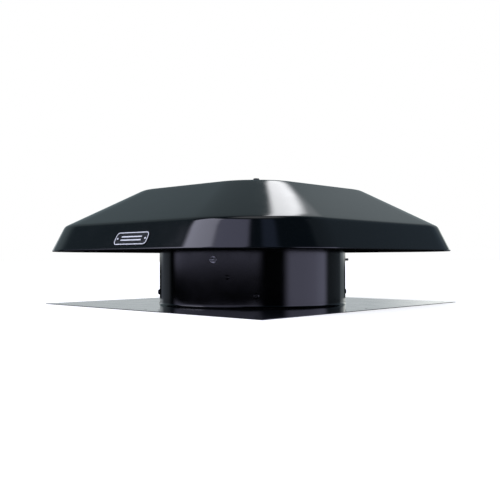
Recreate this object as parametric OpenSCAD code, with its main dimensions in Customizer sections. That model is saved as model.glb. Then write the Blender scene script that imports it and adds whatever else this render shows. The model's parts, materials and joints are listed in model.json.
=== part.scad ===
// Roof-mounted attic exhaust fan: a square flashing plate, a round throat, a
// square weather hood on four struts, and a low-voltage motor that turns a
// five-blade wheel in the throat. A remote panel feeds it through a gland.
// Millimetres, +Z up, origin at the centre of the flashing's underside.

/* [Flashing] */
// Side length of the square flashing plate
flashing_side = 600; // [570:5:640]
// Thickness of the flashing sheet
flashing_t = 1.2; // [1:0.1:1.6]
// Distance from a flashing edge to the centres of its roof-screw holes
roof_hole_inset = 20; // [12:1:28]
// Diameter of a roof-screw hole
roof_hole_d = 5.5; // [4:0.5:7]

/* [Throat] */
// Outside diameter of the throat
throat_od = 381; // [378:1:386]
// Height of the throat's top edge
throat_top_z = 140; // [138:1:146]
// Height of the flare at the foot of the throat
flare_h = 6; // [5:1:12]
// Width of the flare at the foot of the throat
flare_w = 2; // [2:0.5:5]

/* [Hood] */
// Thickness of the hood and throat sheet
sheet_t = 1.2; // [1:0.1:1.4]
// Side length of the hood at its rim
rim_side = 680; // [670:5:700]
// Corner radius of the hood at its rim
rim_corner_r = 180; // [170:5:190]
// Height of the hood's rim
rim_z = 107; // [104:1:110]
// Side length of the hood at the bend between skirt and slope
bend_side = 630; // [625:5:640]
// Corner radius of the hood at the bend
bend_corner_r = 155; // [150:5:165]
// Height of the bend
bend_z = 156; // [152:1:160]
// Side length of the hood's flat top
top_side = 366; // [360:2:372]
// Corner radius of the hood's flat top
top_corner_r = 86; // [80:2:92]
// Height of the hood's flat top
top_z = 231; // [228:1:240]
// Height of the folded hem inside the rim
hem_h = 12; // [8:1:16]

/* [Badge] */
// Width of the blank plate on the skirt
badge_w = 92; // [60:4:120]
// Height of the blank plate on the skirt
badge_h = 27; // [20:1:30]
// Sideways place of the blank plate on the skirt
badge_x = 26; // [-60:2:60]

/* [Struts] */
// Width of a hood strut
strut_w = 20; // [16:1:20]
// Thickness of a hood strut
strut_t = 2; // [1.5:0.5:2.5]
// Height of the screws at the feet of the struts
strut_screw_z = 24; // [22:1:30]

/* [Fan] */
// Clearance between the blade tips and the throat
tip_clearance = 11.3; // [11:0.1:14]
// Pitch angle of a blade
blade_pitch = 25; // [20:1:26]
// Radius of a blade's camber
camber_r = 150; // [140:5:200]
// Thickness of a blade's sheet
blade_t = 1.2; // [1:0.1:1.4]
// Height of the middle of the blades
blade_z = 122; // [121:1:126]

/* [Motor] */
// Outside radius of the motor can
can_r = 46; // [46:0.5:46.5]
// Radius of the motor shaft
shaft_r = 4; // [3.9:0.1:4]
// Radial running clearance of the shaft in its bearings
shaft_clearance = 0.05; // [0.02:0.01:0.08]
// Direction of the first bracket arm
first_arm_angle = 51; // [51:0.5:52]

/* [Control box] */
// Direction of the control box inside the throat
box_angle = 299; // [298:0.5:300]
// Width of the control box along the throat wall
box_w = 50; // [50:1:51]
// Height of the control box
box_h = 45; // [45:0.5:46]
// Bore radius of the gland for the panel lead
gland_bore_r = 3.6; // [3:0.1:4]

/* [Hidden] */

$fn = 96;
hull_fn = 96;
eps = 0.1;

black_paint = "#1c1f23";
zinc = "#b9bcc0";
stainless = "#8f9498";
rubber = "#26272a";
plastic = "#2d2f33";
copper = "#b46a3a";
alloy = "#c9ccd0";

// Throat
throat_r = throat_od / 2;
throat_ri = throat_r - sheet_t;
flare_arc_r = (flare_w * flare_w + flare_h * flare_h) / (2 * flare_w);

// Hood: slopes of its profile and the inward normals of the three stretches
skirt_run = (rim_side - bend_side) / 2;
skirt_tilt = atan2(skirt_run, bend_z - rim_z);
slope_tilt = atan2((bend_side - top_side) / 2, top_z - bend_z);
skirt_normal = [-cos(skirt_tilt), -sin(skirt_tilt)];
slope_normal = [-cos(slope_tilt), -sin(slope_tilt)];
top_normal = [0, -1];

// Badge
badge_t = 1.5;
badge_corner_r = 9;
badge_drop = 30;
badge_glue_t = 0.1;

// Struts and their fasteners, on the diagonals
strut_angles = [-45, 45, 135, 225];
strut_x = throat_ri - 1.8 - strut_t;
strut_foot_z = 12;
strut_bend_r = 3;
strut_top_z = top_z - sheet_t;
strut_tab_end = throat_r + 21.5;
hood_bolt_r = throat_r + 9.5;
m6_r = 3;
m6_hole_r = 3.2;
m6_hex_r = 5.77;
m6_nut_h = 5;
hood_head_h = 2.6;
seal_washer_h = 1.5;
seal_washer_r = 9;
strut_head_r = 6.5;
strut_head_h = 5;

// Screen
screen_wire_r = 0.8;
screen_hoop_r = 1;
screen_wire_count = 60;
screen_hoop_count = 6;
screen_wire_ring_r = throat_r + screen_wire_r;
screen_hoop_ring_r = screen_wire_ring_r - screen_wire_r - screen_hoop_r;
screen_foot_z = throat_top_z - 13;
screen_top_z = top_z - 9;
screen_band_t = 1;
screen_band_h = 12;

// Motor bracket, its arms and their fasteners
bracket_z = 80;
bracket_t = 2;
bracket_disc_r = 60;
bracket_hole_r = 16;
arm_w = 16;
arm_flange_h = 8;
arm_flange_start = 64;
arm_flange_end = 130;
arm_tab_top_z = 98;
arm_tab_x = throat_ri - 4;
arm_bolt_z = 90;
arm_angles = [for (i = [0:2]) first_arm_angle + 120 * i];
m5_r = 2.5;
m5_hole_r = 2.7;
m5_hex_r = 4.62;
m5_nut_h = 4;
grommet_r = 7;
grommet_neck_r = 5.4;
grommet_hole_r = 5.5;
grommet_bore_r = 2.7;
grommet_flange_t = 2;
grommet_lip_t = 1.7;
bracket_washer_t = 1.5;
bracket_washer_r = 6.5;
bracket_head_h = 3.5;
bracket_bolt_tail = 13;

// Motor
can_wall = 1.6;
can_foot_z = 30;
can_plate_t = 3;
bearing_r = 11;
bearing_h = 7;
bearing_seat_r = 15;
cap_t = 3;
through_bolt_ring_r = 51;
cap_ear_r = 7;
cap_vent_count = 6;
cap_vent_ring_r = 30;
cap_vent_r = 5;
through_bolt_top_z = 88;
stator_r = can_r - can_wall;
stator_bore_r = 25.4;
stator_z = 42;
stator_h = 26;
slot_count = 12;
slot_ring_r = 33;
slot_r = 3.4;
coil_r = 3.2;
coil_end_h = 4;
board_r = 40;
board_z = 33;
board_t = 1.6;
magnet_r = 24.6;
core_r = 22;
core_z = 41;
core_h = 28;
shaft_foot_z = 31;
shaft_top_z = 124;

// Motor lead, from the motor can along one arm to the control box
lead_r = 2.5;
lead_fit = 0.4;
lead_collar_w = 2.2;
lead_collar_h = 2;
lead_sides = 10;
lead_exit_z = 36;
lead_angle = first_arm_angle + 240;
lead_route = [
    [15.1, -39.4, 36], [17.9, -46.7, 36], [20, -53, 38], [22, -59, 43], [24, -63, 51],
    [26, -67, 60], [28, -72, 68], [31, -80, 74], [36, -93, 76], [41, -106, 76],
    [46, -119, 76], [52, -130, 76], [59, -137, 76], [68, -142, 75], [78, -145, 74],
    [86, -146, 72], [91, -146, 69], [92.1, -145.6, 64], [92.1, -145.6, 56], [92.1, -145.6, 47]
];
clip_reaches = [100, 122];
clip_fit = 0.6;
clip_t = 0.9;
clip_w = 8;

// Fan wheel
fan_r = throat_ri - tip_clearance;
blade_count = 5;
blade_root_r = 48;
blade_root_w = 56;
blade_tip_w = 96;
blade_corner_r = 14;
boss_r = 12;
boss_z = 98;
spider_t = 2;
spider_disc_r = 34;
spider_arm_end = 84;
spider_arm_w = 28;
spider_disc_z = blade_z - blade_t / 2 - spider_t;
rivet_places = [[58, -8], [58, 8], [76, 0]];
rivet_r = 2;
rivet_head_r = 3.6;
rivet_head_h = 1.6;
rivet_seat = 0.08;
set_screw_z = 106;

// Control box, in a frame turned to box_angle: x outwards, y along the wall
box_x = 157;
box_foot_z = 20;
box_wall = 2;
box_back = 185;
box_top_z = box_foot_z + box_h;
lid_t = 2;
post_r = 3.5;
post_y = box_w / 2 - 5;
post_zs = [box_foot_z + 5, box_top_z - 5];
m3_r = 1.5;
m4_r = 2;
m4_hex_r = 4;
wall_screw_z = 58;
box_lead_y = 10;
box_lead_x = 172;
box_lead_hole_r = 4;
gland_y = 8.5;
gland_x = 172;
gland_neck_r = 5.5;
gland_hex_r = 7.8;
gland_mouth_z = 6;
gland_nut_h = 4;
knob_x = 168;
knob_y = -12;
knob_r = 9;
knob_z = 11;
knob_h = 8;
knob_ribs = 18;
knob_rib_r = 0.8;
spindle_r = 2.5;
spindle_top_z = 30;
switch_size = [16, 17, 20];
switch_sensor_r = 6;
switch_sensor_h = 5;
terminal_size = [16, 19, 14];
terminal_foot_z = 30;
terminal_screw_ys = [4, 10, 16];
terminal_screw_r = 2;

// The hood's inner corner between two stretches, a sheet of thickness t inside
function inner_corner(n1, n2, t) = t * (n1 + n2) / (1 + n1 * n2);

// Unit vector along a
function unit(a) = a / norm(a);

// Points of a ring of radius r round centre c, square to the direction d
function ring_points(c, d, r, sides) =
    let (side_axis = unit(cross(d, [0.31, 0.22, 0.93])))
    let (up_axis = cross(side_axis, d))
    [for (i = [0:sides - 1])
        c + r * (cos(360 * i / sides) * side_axis + sin(360 * i / sides) * up_axis)];

// Direction of a route at its point i
function route_direction(route, i) =
    unit(route[min(i + 1, len(route) - 1)] - route[max(i - 1, 0)]);

// A round tube of radius r swept through the points of a route
module swept_tube(route, r, sides) {
    rings = [for (i = [0:len(route) - 1]) ring_points(route[i], route_direction(route, i), r, sides)];
    points = [for (ring = rings) for (p = ring) p];
    last = len(route) - 1;
    walls = [
        for (i = [0:last - 1]) for (j = [0:sides - 1])
            let (k = (j + 1) % sides)
            [i * sides + j, i * sides + k, (i + 1) * sides + k, (i + 1) * sides + j]
    ];
    foot = [[for (j = [sides - 1:-1:0]) j]];
    head = [[for (j = [0:sides - 1]) last * sides + j]];
    polyhedron(points = points, faces = concat(walls, foot, head), convexity = 6);
}

// Turns a child so that its +Z points outwards at an angle and height
module outwards(angle, z) {
    rotate([0, 0, angle])
        translate([0, 0, z])
            rotate([0, 90, 0])
                children();
}

// Places a child in the control box's frame
module in_box_frame() {
    rotate([0, 0, box_angle])
        children();
}

// A flat ring from z = 0 to h
module ring(r_out, r_in, h) {
    difference() {
        cylinder(r = r_out, h = h);
        translate([0, 0, -1])
            cylinder(r = r_in, h = h + 2);
    }
}

// A hexagonal nut from z = 0 to h
module hex_nut(hex_r, bore_r, h) {
    difference() {
        cylinder(r = hex_r, h = h, $fn = 6);
        translate([0, 0, -1])
            cylinder(r = bore_r, h = h + 2);
    }
}

// A bolt whose hexagonal head stands on z = 0 and whose shank hangs below
module hex_bolt(hex_r, head_h, r, length) {
    cylinder(r = hex_r, h = head_h, $fn = 6);
    translate([0, 0, -length])
        cylinder(r = r, h = length);
}

// A spherical cap of base radius a and height h, standing on z = 0
module dome(a, h) {
    cap_r = (a * a + h * h) / (2 * h);
    rotate_extrude()
        intersection() {
            translate([0, h - cap_r])
                circle(r = cap_r);
            square([a, h]);
        }
}

// Copies of a child at the four hood bolts
module at_hood_bolts(z) {
    for (angle = strut_angles)
        rotate([0, 0, angle])
            translate([hood_bolt_r, 0, z])
                children();
}

// ---------------------------------------------------------------- housing

module flashing() {
    reach = flashing_side / 2 - roof_hole_inset;
    color(black_paint)
        difference() {
            translate([-flashing_side / 2, -flashing_side / 2, 0])
                cube([flashing_side, flashing_side, flashing_t]);
            translate([0, 0, -1])
                cylinder(r = throat_ri, h = flashing_t + 2);
            for (x = [-reach, 0, reach], y = [-reach, 0, reach])
                if (x != 0 || y != 0)
                    translate([x, y, -1])
                        cylinder(d = roof_hole_d, h = flashing_t + 2);
        }
}

module throat() {
    color(black_paint)
        difference() {
            rotate_extrude() {
                translate([throat_ri, flashing_t])
                    square([sheet_t, throat_top_z - flashing_t]);
                difference() {
                    translate([throat_r - eps, flashing_t])
                        square([flare_w + eps, flare_h]);
                    translate([throat_r + flare_arc_r, flashing_t + flare_h])
                        circle(r = flare_arc_r);
                }
            }
            for (angle = strut_angles)
                outwards(angle, strut_screw_z)
                    translate([0, 0, throat_ri - 6])
                        cylinder(r = m6_hole_r, h = 12);
            for (angle = arm_angles)
                outwards(angle, arm_bolt_z)
                    translate([0, 0, throat_ri - 6])
                        cylinder(r = m5_hole_r, h = 12);
            outwards(box_angle, wall_screw_z)
                translate([0, 0, throat_ri - 6])
                    cylinder(r = m4_r, h = 12);
        }
}

// A thin rounded square of the hood, its corner arcs drawn in by an inset
module hood_tier(side, corner_r, z, inset) {
    reach = side / 2 - corner_r;
    for (x = [-reach, reach], y = [-reach, reach])
        translate([x, y, z - eps])
            cylinder(r = corner_r - inset, h = eps, $fn = hull_fn);
}

// The solid under a surface that lies a thickness t inside the hood's outside
module hood_form(t) {
    bend_shift = inner_corner(skirt_normal, slope_normal, t);
    top_shift = inner_corner(slope_normal, top_normal, t);
    rim_inset = t / cos(skirt_tilt);
    hull() {
        hood_tier(rim_side, rim_corner_r, rim_z + eps, rim_inset);
        if (t > 0)
            hood_tier(rim_side, rim_corner_r, rim_z - 1, rim_inset);
        hood_tier(bend_side, bend_corner_r, bend_z + bend_shift[1], -bend_shift[0]);
        hood_tier(top_side, top_corner_r, top_z + top_shift[1], -top_shift[0]);
    }
}

module hood() {
    color(black_paint)
        difference() {
            hood_form(0);
            hood_form(2 * sheet_t);
            intersection() {
                hood_form(sheet_t);
                translate([-rim_side, -rim_side, rim_z + hem_h])
                    cube([2 * rim_side, 2 * rim_side, top_z]);
            }
            at_hood_bolts(top_z - 10)
                cylinder(r = m6_hole_r, h = 20);
        }
}

module badge_plate() {
    reach_x = badge_w / 2 - badge_corner_r;
    reach_y = badge_h / 2 - badge_corner_r;
    color(alloy)
        translate([badge_x, -bend_side / 2 - badge_drop * tan(skirt_tilt), bend_z - badge_drop])
            rotate([90 - skirt_tilt, 0, 0])
                translate([0, 0, badge_glue_t])
                    linear_extrude(badge_t) {
                        square([2 * reach_x, badge_h], center = true);
                        square([badge_w, 2 * reach_y], center = true);
                        for (x = [-reach_x, reach_x], y = [-reach_y, reach_y])
                            translate([x, y])
                                circle(r = badge_corner_r);
                    }
}

// One hood strut: an upright strap whose top is bent outwards under the hood
module hood_strut(angle) {
    bend_x = strut_x + strut_t + strut_bend_r;
    bend_top = strut_top_z - strut_t - strut_bend_r;
    color(zinc)
        difference() {
            rotate([0, 0, angle])
                rotate([90, 0, 0])
                    linear_extrude(strut_w, center = true) {
                        translate([strut_x, strut_foot_z])
                            square([strut_t, bend_top - strut_foot_z]);
                        translate([bend_x, strut_top_z - strut_t])
                            square([strut_tab_end - bend_x, strut_t]);
                        translate([bend_x, bend_top])
                            intersection() {
                                difference() {
                                    circle(r = strut_bend_r + strut_t);
                                    circle(r = strut_bend_r);
                                }
                                translate([-strut_bend_r - strut_t, 0])
                                    square(strut_bend_r + strut_t);
                            }
                    }
            outwards(angle, strut_screw_z)
                cylinder(r = m6_hole_r, h = throat_r);
            rotate([0, 0, angle])
                translate([hood_bolt_r, 0, strut_top_z - 10])
                    cylinder(r = m6_hole_r, h = 20);
        }
}

module strut_screws() {
    color(black_paint)
        for (angle = strut_angles)
            outwards(angle, strut_screw_z) {
                translate([0, 0, throat_r])
                    dome(strut_head_r, strut_head_h);
                translate([0, 0, strut_x - m6_nut_h - 2])
                    cylinder(r = m6_r, h = throat_r - strut_x + m6_nut_h + 2);
            }
}

module strut_nuts() {
    color(zinc)
        for (angle = strut_angles)
            outwards(angle, strut_screw_z)
                translate([0, 0, strut_x - m6_nut_h])
                    hex_nut(m6_hex_r, m6_r, m6_nut_h);
}

module hood_bolts() {
    color(black_paint)
        at_hood_bolts(top_z + seal_washer_h)
            hex_bolt(m6_hex_r, hood_head_h, m6_r, 18);
}

module hood_seal_washers() {
    color(rubber)
        at_hood_bolts(top_z)
            ring(seal_washer_r, m6_r, seal_washer_h);
}

module hood_nuts() {
    color(zinc)
        at_hood_bolts(strut_top_z - strut_t - m6_nut_h)
            hex_nut(m6_hex_r, m6_r, m6_nut_h);
}

// ----------------------------------------------------------------- screen

module screen_hoops() {
    low = throat_top_z + screen_hoop_r;
    pitch = (screen_top_z - screen_hoop_r - low) / (screen_hoop_count - 1);
    color(stainless)
        for (i = [0:screen_hoop_count - 1])
            translate([0, 0, low + i * pitch])
                rotate_extrude()
                    translate([screen_hoop_ring_r, 0])
                        circle(r = screen_hoop_r, $fn = 24);
}

module screen_wires() {
    color(stainless)
        for (i = [0:screen_wire_count - 1])
            rotate([0, 0, 360 * (i + 0.5) / screen_wire_count])
                translate([screen_wire_ring_r, 0, screen_foot_z])
                    cylinder(r = screen_wire_r, h = screen_top_z - screen_foot_z, $fn = 24);
}

module screen_band() {
    band_ri = screen_wire_ring_r + screen_wire_r;
    color(zinc)
        translate([0, 0, screen_foot_z - 1])
            ring(band_ri + screen_band_t, band_ri, screen_band_h);
}

// ---------------------------------------------------------- motor bracket

// One arm of the bracket along +X: a channel with a tab turned up at its end
module bracket_arm() {
    flange_y = arm_w / 2 - bracket_t;
    translate([bracket_hole_r + 10, -arm_w / 2, bracket_z])
        cube([arm_tab_x + bracket_t - bracket_hole_r - 10, arm_w, bracket_t]);
    for (y = [-arm_w / 2, flange_y])
        translate([arm_flange_start, y, bracket_z - arm_flange_h])
            cube([arm_flange_end - arm_flange_start, bracket_t, arm_flange_h + bracket_t]);
    translate([arm_tab_x, -arm_w / 2, bracket_z])
        cube([bracket_t, arm_w, arm_tab_top_z - bracket_z]);
}

module at_through_bolts(z) {
    for (angle = arm_angles)
        rotate([0, 0, angle + 60])
            translate([through_bolt_ring_r, 0, z])
                children();
}

module motor_bracket() {
    color(zinc)
        difference() {
            union() {
                translate([0, 0, bracket_z])
                    cylinder(r = bracket_disc_r, h = bracket_t);
                for (angle = arm_angles)
                    rotate([0, 0, angle])
                        bracket_arm();
            }
            translate([0, 0, bracket_z - 1])
                cylinder(r = bracket_hole_r, h = bracket_t + 2);
            at_through_bolts(bracket_z - 1)
                cylinder(r = m5_hole_r, h = bracket_t + 2);
            for (angle = arm_angles)
                outwards(angle, arm_bolt_z)
                    translate([0, 0, arm_tab_x - 1])
                        cylinder(r = grommet_hole_r, h = bracket_t + 2);
        }
}

module bracket_grommets() {
    color(rubber)
        for (angle = arm_angles)
            outwards(angle, arm_bolt_z)
                translate([0, 0, arm_tab_x])
                    rotate_extrude() {
                        translate([grommet_bore_r, -grommet_flange_t])
                            square([grommet_r - grommet_bore_r, grommet_flange_t]);
                        translate([grommet_bore_r, 0])
                            square([grommet_neck_r - grommet_bore_r, bracket_t]);
                        translate([grommet_bore_r, bracket_t])
                            square([grommet_r - grommet_bore_r, grommet_lip_t]);
                    }
}

module bracket_bolts() {
    head_x = arm_tab_x - grommet_flange_t - bracket_washer_t;
    color(zinc)
        for (angle = arm_angles)
            outwards(angle, arm_bolt_z)
                translate([0, 0, head_x - bracket_head_h]) {
                    cylinder(r = m5_hex_r, h = bracket_head_h, $fn = 6);
                    cylinder(r = m5_r, h = throat_r + bracket_bolt_tail - head_x + bracket_head_h);
                }
}

module bracket_washers() {
    color(zinc)
        for (angle = arm_angles)
            outwards(angle, arm_bolt_z) {
                translate([0, 0, arm_tab_x - grommet_flange_t - bracket_washer_t])
                    ring(bracket_washer_r, m5_r, bracket_washer_t);
                translate([0, 0, throat_r])
                    ring(bracket_washer_r, m5_r, bracket_washer_t);
            }
}

module bracket_nuts() {
    color(zinc)
        for (angle = arm_angles)
            outwards(angle, arm_bolt_z)
                translate([0, 0, throat_r + bracket_washer_t])
                    hex_nut(m5_hex_r, m5_r, m5_nut_h);
}

// ------------------------------------------------------------------ motor

module motor_can() {
    color(black_paint)
        difference() {
            rotate_extrude() {
                translate([can_r - can_wall, can_foot_z])
                    square([can_wall, bracket_z - can_foot_z]);
                translate([bearing_r, bracket_z - can_plate_t])
                    square([can_r - bearing_r, can_plate_t]);
                translate([bearing_r, bracket_z - bearing_h])
                    square([bearing_seat_r - bearing_r, bearing_h]);
            }
            outwards(lead_angle, lead_exit_z)
                translate([0, 0, can_r - 4])
                    cylinder(r = box_lead_hole_r, h = 8);
        }
}

module motor_cap() {
    color(alloy)
        difference() {
            union() {
                rotate_extrude() {
                    translate([0, can_foot_z - cap_t])
                        square([can_r, cap_t]);
                    translate([bearing_r, can_foot_z])
                        square([bearing_seat_r - bearing_r, bearing_h]);
                    translate([stator_r - 2, can_foot_z])
                        square([2, 2]);
                }
                at_through_bolts(can_foot_z - cap_t)
                    cylinder(r = cap_ear_r, h = cap_t);
            }
            at_through_bolts(can_foot_z - cap_t - 1)
                cylinder(r = m5_hole_r, h = cap_t + 2);
            for (i = [0:cap_vent_count - 1])
                rotate([0, 0, 360 * i / cap_vent_count])
                    translate([cap_vent_ring_r, 0, can_foot_z - cap_t - 1])
                        cylinder(r = cap_vent_r, h = cap_t + 2);
        }
}

module stator_core() {
    color(stainless)
        translate([0, 0, stator_z])
            linear_extrude(stator_h)
                difference() {
                    circle(r = stator_r);
                    circle(r = stator_bore_r);
                    for (i = [0:slot_count - 1])
                        rotate(360 * i / slot_count) {
                            translate([slot_ring_r, 0])
                                circle(r = slot_r, $fn = 32);
                            translate([stator_bore_r - 1, -0.8])
                                square([slot_ring_r - stator_bore_r, 1.6]);
                        }
                }
}

module stator_windings() {
    color(copper)
        union() {
            for (z = [stator_z - coil_end_h, stator_z + stator_h])
                translate([0, 0, z])
                    ring(slot_ring_r + 7, slot_ring_r - 5, coil_end_h);
            for (i = [0:slot_count - 1])
                rotate([0, 0, 360 * i / slot_count])
                    translate([slot_ring_r, 0, stator_z - 1])
                        cylinder(r = coil_r, h = stator_h + 2, $fn = 32);
        }
}

module driver_board() {
    color("#1d5a37")
        translate([0, 0, board_z])
            ring(board_r, bearing_seat_r + 1, board_t);
}

module upper_bearing() {
    color(stainless)
        translate([0, 0, bracket_z - bearing_h])
            ring(bearing_r, shaft_r + shaft_clearance, bearing_h);
}

module lower_bearing() {
    color(stainless)
        translate([0, 0, can_foot_z])
            ring(bearing_r, shaft_r + shaft_clearance, bearing_h);
}

module motor_through_bolts() {
    foot_z = can_foot_z - cap_t;
    color(zinc)
        at_through_bolts(foot_z) {
            translate([0, 0, -3.5])
                cylinder(r = m5_hex_r, h = 3.5, $fn = 6);
            cylinder(r = m5_r, h = through_bolt_top_z - foot_z);
        }
}

module motor_nuts() {
    color(zinc)
        at_through_bolts(bracket_z + bracket_t)
            hex_nut(m5_hex_r, m5_r, m5_nut_h);
}

module motor_grommet() {
    color(rubber)
        outwards(lead_angle, lead_exit_z)
            translate([0, 0, can_r - can_wall])
                rotate_extrude() {
                    translate([lead_r + lead_fit, 0])
                        square([box_lead_hole_r - lead_r - lead_fit - 0.1, can_wall + 0.2]);
                    translate([lead_r + lead_fit, can_wall + 0.2])
                        square([lead_collar_w, lead_collar_h]);
                }
}

module motor_lead() {
    color(plastic)
        swept_tube(lead_route, lead_r, lead_sides);
}

// Straps that hold the lead up against the underside of the arm
module lead_clips() {
    lead_z = bracket_z - 4;
    color(rubber)
        for (reach = clip_reaches)
            rotate([0, 0, lead_angle])
                translate([reach, 0, lead_z])
                    rotate([90, 0, 90])
                        linear_extrude(clip_w, center = true)
                            difference() {
                                union() {
                                    circle(r = lead_r + clip_fit + clip_t);
                                    translate([-3, 0])
                                        square([6, bracket_z - lead_z]);
                                }
                                circle(r = lead_r + clip_fit);
                            }
}

// ------------------------------------------------------------ control box

module control_box() {
    color(plastic)
        in_box_frame()
            difference() {
                union() {
                    difference() {
                        translate([box_x, -box_w / 2, box_foot_z])
                            cube([throat_ri - box_x, box_w, box_h]);
                        translate([box_x - 1, -box_w / 2 + box_wall, box_foot_z + box_wall])
                            cube([box_back - box_x + 1, box_w - 2 * box_wall, box_h - 2 * box_wall]);
                    }
                    for (y = [-post_y, post_y], z = post_zs)
                        translate([box_x, y, z])
                            rotate([0, 90, 0])
                                cylinder(r = post_r, h = box_back - box_x);
                }
                difference() {
                    translate([box_x, -box_w, box_foot_z - 1])
                        cube([box_w, 2 * box_w, box_h + 2]);
                    translate([0, 0, box_foot_z - 2])
                        cylinder(r = throat_ri, h = box_h + 4);
                }
                for (y = [-post_y, post_y], z = post_zs)
                    translate([box_x - 1, y, z])
                        rotate([0, 90, 0])
                            cylinder(r = m3_r, h = 12);
                translate([box_back - 1, 0, wall_screw_z])
                    rotate([0, 90, 0])
                        cylinder(r = m4_r, h = 12);
                translate([box_lead_x, box_lead_y, box_top_z - box_wall - 1])
                    cylinder(r = box_lead_hole_r, h = box_wall + 2);
                translate([gland_x, gland_y, box_foot_z - 1])
                    cylinder(r = gland_neck_r, h = box_wall + 2);
                translate([knob_x, knob_y, box_foot_z - 1])
                    cylinder(r = spindle_r + shaft_clearance, h = box_wall + 2);
            }
}

module control_box_lid() {
    color(plastic)
        in_box_frame()
            difference() {
                translate([box_x - lid_t, -box_w / 2, box_foot_z])
                    cube([lid_t, box_w, box_h]);
                for (y = [-post_y, post_y], z = post_zs)
                    translate([box_x - lid_t - 1, y, z])
                        rotate([0, 90, 0])
                            cylinder(r = m3_r + 0.1, h = lid_t + 2);
            }
}

module box_lid_screws() {
    color(zinc)
        in_box_frame()
            for (y = [-post_y, post_y], z = post_zs)
                translate([box_x - lid_t, y, z]) {
                    rotate([0, -90, 0])
                        dome(2.8, 1.8);
                    rotate([0, 90, 0])
                        cylinder(r = m3_r, h = 12);
                }
}

module box_wall_screw() {
    color(black_paint)
        outwards(box_angle, wall_screw_z) {
            translate([0, 0, throat_r])
                dome(4.5, 3);
            translate([0, 0, box_back - 6])
                cylinder(r = m4_r, h = throat_r - box_back + 6);
        }
}

module box_wall_nut() {
    color(zinc)
        outwards(box_angle, wall_screw_z)
            translate([0, 0, box_back - 4])
                hex_nut(m4_hex_r, m4_r, 4);
}

module box_grommet() {
    color(rubber)
        in_box_frame()
            translate([box_lead_x, box_lead_y, box_top_z - box_wall])
                rotate_extrude() {
                    translate([lead_r + lead_fit, 0])
                        square([box_lead_hole_r - lead_r - lead_fit - 0.1, box_wall]);
                    translate([lead_r + lead_fit, box_wall])
                        square([lead_collar_w, lead_collar_h]);
                }
}

// Gland for the lead of the remote panel, with its mouth facing down
module solar_gland() {
    color(plastic)
        in_box_frame()
            translate([gland_x, gland_y, 0])
                difference() {
                    union() {
                        translate([0, 0, box_foot_z])
                            cylinder(r = gland_neck_r, h = box_wall + gland_nut_h + 1);
                        translate([0, 0, box_foot_z - 5])
                            cylinder(r = gland_hex_r, h = 5, $fn = 6);
                        translate([0, 0, gland_mouth_z + 3])
                            cylinder(r = gland_hex_r - 1.5, h = box_foot_z - 5 - gland_mouth_z - 3);
                        translate([0, 0, gland_mouth_z])
                            cylinder(r1 = gland_neck_r - 0.5, r2 = gland_hex_r - 1.5, h = 3);
                    }
                    translate([0, 0, gland_mouth_z - 1])
                        cylinder(r = gland_bore_r, h = box_h);
                }
}

module gland_nut() {
    color(plastic)
        in_box_frame()
            translate([gland_x, gland_y, box_foot_z + box_wall])
                hex_nut(gland_hex_r, gland_neck_r, gland_nut_h);
}

// Snap-action thermostat with its sensing can, behind the dial
module thermostat_switch() {
    color("#c9b58a")
        in_box_frame()
            difference() {
                union() {
                    translate([knob_x - switch_size[0] / 2, knob_y - switch_size[1] / 2, spindle_top_z + 1])
                        cube(switch_size);
                    translate([knob_x, knob_y, spindle_top_z + 1 + switch_size[2]])
                        cylinder(r = switch_sensor_r, h = switch_sensor_h);
                }
                translate([knob_x - 9, knob_y - 9, spindle_top_z + 14])
                    cube([4, 18, 2]);
            }
}

module terminal_block() {
    color("#e4e2da")
        in_box_frame()
            difference() {
                translate([box_lead_x - terminal_size[0] / 2, 0.5, terminal_foot_z])
                    cube(terminal_size);
                for (y = terminal_screw_ys)
                    translate([box_lead_x - 4, y, terminal_foot_z + 5])
                        cylinder(r = terminal_screw_r, h = terminal_size[2]);
            }
}

// ------------------------------------------------------------------- knob

module thermostat_knob() {
    color(plastic)
        in_box_frame()
            translate([knob_x, knob_y, knob_z])
                difference() {
                    union() {
                        cylinder(r = knob_r - knob_rib_r, h = knob_h);
                        for (i = [0:knob_ribs - 1])
                            rotate([0, 0, 360 * i / knob_ribs])
                                translate([knob_r - knob_rib_r, 0, 0])
                                    cylinder(r = knob_rib_r, h = knob_h, $fn = 24);
                        cylinder(r = spindle_r, h = spindle_top_z - knob_z);
                    }
                    translate([2, -0.6, -1])
                        cube([knob_r, 1.2, 2]);
                }
}

// ------------------------------------------------------------------ rotor

module motor_shaft() {
    color(stainless)
        translate([0, 0, shaft_foot_z])
            cylinder(r = shaft_r, h = shaft_top_z - shaft_foot_z);
}

module rotor_core() {
    color(stainless)
        translate([0, 0, core_z])
            ring(core_r, shaft_r, core_h);
}

module rotor_magnets() {
    color("#3a3c40")
        translate([0, 0, core_z + 1])
            ring(magnet_r, core_r, core_h - 2);
}

module fan_boss() {
    color(alloy)
        difference() {
            translate([0, 0, boss_z])
                ring(boss_r, shaft_r, spider_disc_z - boss_z);
            outwards(0, set_screw_z)
                cylinder(r = m5_r, h = 2 * boss_r);
        }
}

module fan_set_screw() {
    color(stainless)
        outwards(0, set_screw_z)
            translate([0, 0, shaft_r])
                difference() {
                    cylinder(r = m5_r, h = 7);
                    translate([0, 0, 4])
                        cylinder(r = 1.4, h = 4, $fn = 6);
                }
}

// Puts a child in a blade's frame: x outwards, y across the chord, z its face
module in_blade_frame(index) {
    rotate([0, 0, 360 * index / blade_count])
        translate([0, 0, blade_z])
            rotate([blade_pitch, 0, 0])
                children();
}

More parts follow.
